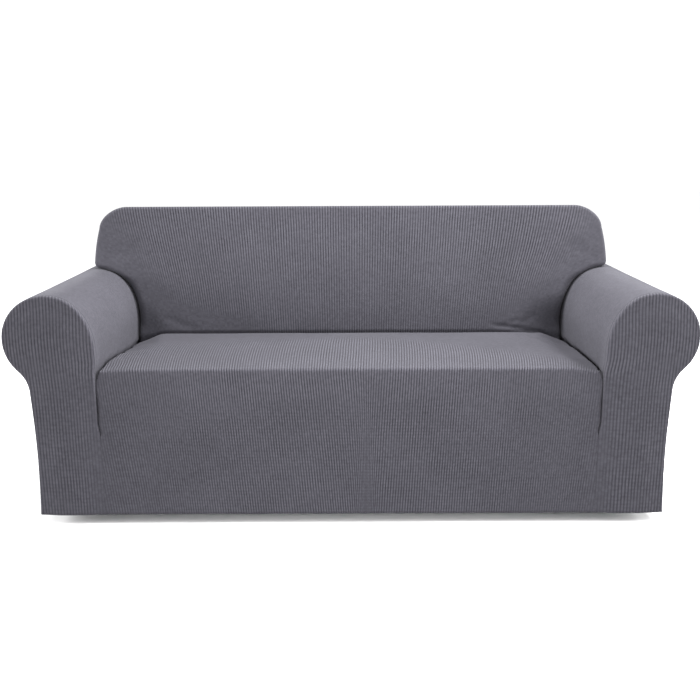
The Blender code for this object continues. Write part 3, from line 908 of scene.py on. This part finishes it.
class Socket:
    """A value in a material, which Python's operators work on by adding Math nodes."""

    def __init__(self, nodes, socket):
        self.nodes, self.socket = nodes, socket

    def maths(self, operation, *values):
        return self.nodes.add("ShaderNodeMath", {"operation": operation}, values)["Value"]

    def __add__(self, other):
        return self.maths("ADD", self, other)

    def __sub__(self, other):
        return self.maths("SUBTRACT", self, other)

    def __rsub__(self, other):
        return self.maths("SUBTRACT", other, self)

    def __mul__(self, other):
        return self.maths("MULTIPLY", self, other)

    def __truediv__(self, other):
        return self.maths("DIVIDE", self, other)

    def __pow__(self, other):
        return self.maths("POWER", self, other)

    def wave(self, pitch):
        """1 on the middle of each repeat, and 0 on the line between two."""
        return self.maths("COSINE", self * (2 * math.pi / pitch)) * 0.5 + 0.5

    def floor(self):
        return self.maths("FLOOR", self)

    def step(self, edge, softness):
        """0 below the edge and 1 above it."""
        settings = {"interpolation_type": "SMOOTHSTEP"}
        named = {"Value": self, "From Min": edge - softness, "From Max": edge + softness}
        return self.nodes.add("ShaderNodeMapRange", settings, named)["Result"]


class Nodes:
    """Adds a material's nodes."""

    def __init__(self, tree):
        self.tree = tree

    def add(self, kind, settings=None, values=()):
        """Adds a node. values fills its sockets, in order or by name, and its outputs come back by name."""
        node = self.tree.nodes.new(kind)
        for name, value in (settings or {}).items():
            setattr(node, name, value)
        pairs = values.items() if isinstance(values, dict) else enumerate(values)
        for key, value in pairs:
            self.fill(node.inputs[key], value)
        return {out.name: Socket(self, out) for out in node.outputs if out.enabled}

    def fill(self, target, value):
        if isinstance(value, Socket):
            self.tree.links.new(value.socket, target)
        else:
            target.default_value = value

    def mixed_colour(self, share, low, high):
        """A colour between two others. A Mix node's inputs 6 and 7 are its colours."""
        return self.add("ShaderNodeMix", {"data_type": "RGBA"}, {0: share, 6: low, 7: high})["Result"]

    def uneven(self, place, scale, detail):
        """Soft noise between 0 and 1, over the cloth."""
        return self.add("ShaderNodeTexNoise", {}, {"Vector": place, "Scale": scale, "Detail": detail})["Fac"]


# The yarn down in the knit and on top of its ribs: partly its own tone, and partly painted shade in the
# furrows and painted light on the ribs
YARN_AND_FURROW_SHADE = (0.0110, 0.0104, 0.0136, 1.0)
YARN_AND_RIB_LIGHT = (0.0929, 0.0903, 0.1080, 1.0)

# How little the yarn shines
YARN_SHINE = {
    "Specular IOR Level": 0.15,
    "Sheen Weight": 0.06,
    "Sheen Roughness": 0.5,
    "Sheen Tint": (0.80, 0.80, 0.86, 1.0),
}

# How round the ribs and the cross lines are. The lines are deep near the hem, and shallow above it.
RIB_FULLNESS = 0.8
LINE_FULLNESS = 0.5
RIB_WANDER = 0.0022
LOW_LINES = 0.28
HIGH_LINES = 0.02
LINES_CHANGE_AT = 0.34
LINES_CHANGE_OVER = 0.06
CHECK_MIDDLE = 0.48

# Slubs are thick places in the yarn, which run along one rib and differ from rib to rib
SLUB_ROW = 7.3
SLUBS_A_METRE = 95.0

# What is uneven in the cloth: how often it varies in a metre, and in how much detail
UNEVEN = {
    "wander": {"scale": 9.0, "detail": 1.0},
    "cloudy": {"scale": 5.0, "detail": 3.0},
    "pulled": {"scale": 17.0, "detail": 2.0},
    "yarn": {"scale": 1500.0, "detail": 2.0},
}

# How much each of them changes the relief, the tone, the height and the roughness
PULLED = {"least": 0.2, "more": 1.6}
# Through the check, the tone carries painted shade in the knit's furrows and painted light on its ribs
TONE = {"middle": 0.38, "check": 0.80, "slubs": 0.34, "yarn": 0.16, "cloudy": 0.22}
HEIGHT = {"slubs": 0.10, "yarn": 0.15}
ROUGHNESS = {"middle": 0.92, "check": 0.12}
BUMP_STRENGTH = 0.55
BUMP_HEIGHT = 0.0011


def knit_material(name):
    """Grey stretch jacquard: upright ribs crossed by finer lines, so that it shows a small raised check,
    whose shade and light are partly painted into its colour.
    """
    material = bpy.data.materials.new(name)
    material.use_nodes = True
    tree = material.node_tree
    shader = tree.nodes["Principled BSDF"]
    nodes = Nodes(tree)
    cloth = nodes.add("ShaderNodeUVMap", {"uv_map": "cloth"})["UV"]
    place = nodes.add("ShaderNodeSeparateXYZ", {}, [cloth])
    across, along = place["X"], place["Y"]
    relief = nodes.add("ShaderNodeAttribute", {"attribute_name": "relief"})["Fac"]

    across = across + (nodes.uneven(cloth, **UNEVEN["wander"]) - 0.5) * RIB_WANDER
    ribs = across.wave(RIB) ** RIB_FULLNESS
    lines = along.wave(CROSS_LINE) ** LINE_FULLNESS
    above = along.step(LINES_CHANGE_AT, LINES_CHANGE_OVER)
    crossing = LOW_LINES - above * (LOW_LINES - HIGH_LINES)
    check = ribs * (1.0 - crossing * (1.0 - lines)) - CHECK_MIDDLE

    rib_number = (across / RIB + 0.5).floor()
    on_rib = nodes.add("ShaderNodeCombineXYZ", {}, [rib_number * SLUB_ROW, along * SLUBS_A_METRE])["Vector"]
    flat = {"noise_dimensions": "2D"}
    slubs = nodes.add("ShaderNodeTexNoise", flat, {"Vector": on_rib, "Scale": 1.0})["Fac"]
    yarn = nodes.uneven(cloth, **UNEVEN["yarn"])
    cloudy = nodes.uneven(cloth, **UNEVEN["cloudy"])
    pulled = nodes.uneven(cloth, **UNEVEN["pulled"])

    check_relief_and_shade = check * relief * (pulled * PULLED["more"] + PULLED["least"])
    # The check's part of the tone is painted shade in the knit's furrows and painted light on its ribs as
    # well as the knit's own tone; slubs, yarn and cloudy are the yarn's own tone
    tone = check_relief_and_shade * TONE["check"] + (slubs - 0.5) * TONE["slubs"] + yarn * TONE["yarn"]
    tone = tone + (cloudy - 0.5) * TONE["cloudy"] + TONE["middle"]
    colour = nodes.mixed_colour(tone, YARN_AND_FURROW_SHADE, YARN_AND_RIB_LIGHT)
    height = check_relief_and_shade + yarn * HEIGHT["yarn"] + slubs * HEIGHT["slubs"]
    bump = {"Strength": BUMP_STRENGTH, "Distance": BUMP_HEIGHT, "Height": height}
    nodes.fill(shader.inputs["Base Color"], colour)
    nodes.fill(shader.inputs["Normal"], nodes.add("ShaderNodeBump", {}, bump)["Normal"])
    nodes.fill(shader.inputs["Roughness"], ROUGHNESS["middle"] - check_relief_and_shade * ROUGHNESS["check"])
    for name, value in YARN_SHINE.items():
        shader.inputs[name].default_value = value
    return material


# ---------------------------------------------------------------- pieces


def add_piece(name, node, made, material, flipped=False):
    """Makes a piece out of a panel's right side, with its place on the flat cloth as its UV map."""
    bm, fabric_place = made
    cloth = bm.loops.layers.uv.new("cloth")
    relief = bm.verts.layers.float.new("relief")
    flat = bm.verts.layers.float_vector["flat"]
    places = {vert: fabric_place(*vert[flat].xy) for vert in bm.verts}
    for vert, place in places.items():
        vert[relief] = place[2]
    for face in bm.faces:
        face.smooth = True
        for loop in face.loops:
            loop[cloth].uv = places[loop.vert][:2]
    bm.verts.layers.float_vector.remove(flat)
    if flipped:
        bmesh.ops.scale(bm, vec=(-1, 1, 1), verts=bm.verts)
        bmesh.ops.reverse_faces(bm, faces=bm.faces)
    for vert in bm.verts:
        vert.co.x -= hung_left(vert.co)
    mesh = bpy.data.meshes.new(name)
    bm.to_mesh(mesh)
    bm.free()
    mesh.materials.append(material)
    piece = bpy.data.objects.new(name, mesh)
    bpy.context.scene.collection.objects.link(piece)
    thick = piece.modifiers.new("Cloth", "SOLIDIFY")
    thick.thickness = CLOTH
    thick.offset = -1
    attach(piece, "root")
    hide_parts(node)
    return piece


def dress():
    """Every piece of the cover, each with the flat size that it is cut to."""
    knit = knit_material("stretch_knit")
    seat = add_piece("seat_and_skirt_cloth", "seat_and_skirt", seat_and_skirt(), knit)
    inside = add_piece("inside_back_cloth", "inside_back", inside_back(), knit)
    outside = add_piece("outside_back_cloth", "outside_back", outside_back(), knit)
    for name, side in (("left", -1), ("right", 1)):
        flipped = side < 0
        over = add_piece(f"arm_{name}_cloth", f"arm_{name}", arm(side), knit, flipped)
        front = add_piece(f"arm_front_{name}_cloth", f"arm_front_{name}", arm_front(), knit, flipped)


# ---------------------------------------------------------------- the studio


LAMPS = (
    {"name": "Left", "place": (-6, -0.4, 1.7), "aim": (0, 0, 0.5), "size": (2.6, 1.6), "power": 590},
    {"name": "Right", "place": (6, -0.4, 1.7), "aim": (0, 0, 0.5), "size": (2.6, 1.6), "power": 430},
    {"name": "High right", "place": (3, -0.3, 3), "aim": (0, 0, 0.5), "size": (1.6, 1.6), "power": 180},
    {"name": "Overhead", "place": (0, -0.2, 3.4), "aim": (0, -0.1, 0.5), "size": (2.4, 1.6), "power": 142},
    {"name": "Near right", "place": (1.3, -1.2, 1.5), "aim": (0.6, 0.2, 0.6), "size": (0.8, 0.8), "power": 9},
    {"name": "Low front", "place": (0, -1.7, 0.45), "aim": (0, 0, 0.25), "size": (0.8, 0.5), "power": 13},
)
WORLD_LIGHT = 1.12
FLOOR_HALF = 20.0
FLOOR_COLOUR = (0.9, 0.9, 0.9, 1.0)
FLOOR_ROUGHNESS = 0.9


def soft_lamp(name, place, aim, size, power):
    data = bpy.data.lights.new(name, "AREA")
    data.shape = "RECTANGLE"
    data.size, data.size_y = size
    data.energy = power
    lamp = bpy.data.objects.new(name, data)
    lamp.location = place
    lamp.visible_camera = False
    lamp.rotation_euler = (Vector(aim) - Vector(place)).to_track_quat("-Z", "Y").to_euler()
    bpy.context.scene.collection.objects.link(lamp)


def pale_world():
    world = bpy.data.worlds.new("Studio")
    world.use_nodes = True
    background = world.node_tree.nodes["Background"]
    background.inputs["Color"].default_value = (1.0, 1.0, 1.0, 1.0)
    background.inputs["Strength"].default_value = WORLD_LIGHT
    bpy.context.scene.world = world


def pale_floor():
    """A plain floor under the sofa's feet, which takes a shadow and throws no light up."""
    bm = bmesh.new()
    bmesh.ops.create_grid(bm, x_segments=1, y_segments=1, size=FLOOR_HALF)
    bmesh.ops.translate(bm, verts=bm.verts, vec=(0, 0, FLOOR_Z))
    mesh = bpy.data.meshes.new("floor")
    bm.to_mesh(mesh)
    bm.free()
    pale = bpy.data.materials.new("pale_floor")
    pale.use_nodes = True
    shader = pale.node_tree.nodes["Principled BSDF"]
    shader.inputs["Base Color"].default_value = FLOOR_COLOUR
    shader.inputs["Roughness"].default_value = FLOOR_ROUGHNESS
    mesh.materials.append(pale)
    floor = bpy.data.objects.new("floor", mesh)
    floor.visible_diffuse = False
    bpy.context.scene.collection.objects.link(floor)


def eye():
    """The camera: in front, a little above the back of the sofa and looking down at the seat."""
    lens = bpy.data.cameras.new("Camera")
    lens.sensor_width = SENSOR
    lens.lens = LENS
    camera = bpy.data.objects.new("Camera", lens)
    camera.location = (0.0, FRONT - EYE_DISTANCE, EYE_HEIGHT)
    camera.rotation_euler = (math.pi / 2 - EYE_TILT, EYE_ROLL, 0.0)
    bpy.context.scene.collection.objects.link(camera)
    bpy.context.scene.camera = camera


def studio():
    bpy.context.scene.view_settings.view_transform = "Standard"
    pale_world()
    pale_floor()
    for lamp in LAMPS:
        soft_lamp(**lamp)
    eye()


studio()
dress()
